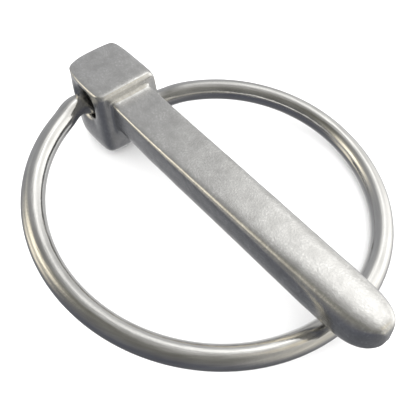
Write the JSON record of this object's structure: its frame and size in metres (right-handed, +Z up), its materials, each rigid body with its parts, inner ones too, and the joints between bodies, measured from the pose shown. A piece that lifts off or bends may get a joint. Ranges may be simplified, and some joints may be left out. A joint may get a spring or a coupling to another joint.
{
  "type": "linch pin lock",
  "caption": "Flat-shank locking pin with a block head and a sprung wire ring that swings over the shank's end to stop the pin falling out of its hole.",
  "frame": {"origin": "bottom centre of the bounding box, on the plane of the head's base, with the ring closed", "axes": "+X along the shank from the head to its tip, +Y along the ring's hinge, +Z up from the side the ring closes on to the shank's free side"},
  "size_m": [0.0556, 0.0476, 0.012],
  "materials": {
    "cast_steel": "tumbled satin stainless steel",
    "spring_wire": "bright drawn stainless spring wire"
  },
  "bodies": {
    "pin": {"pin_body": "cast_steel"},
    "ring": {"lock_ring": "spring_wire"}
  },
  "joints": [
    {"name": "ring_swing", "type": "hinge", "parent": "pin", "child": "ring", "pos_m": [-0.02175, 0, 0.0064], "axis": [0.1532, 0.9012, -0.4055], "range_deg": [0, 346], "stiffness_Nm_per_rad": 0.1, "springref_deg": -28.65}
  ]
}
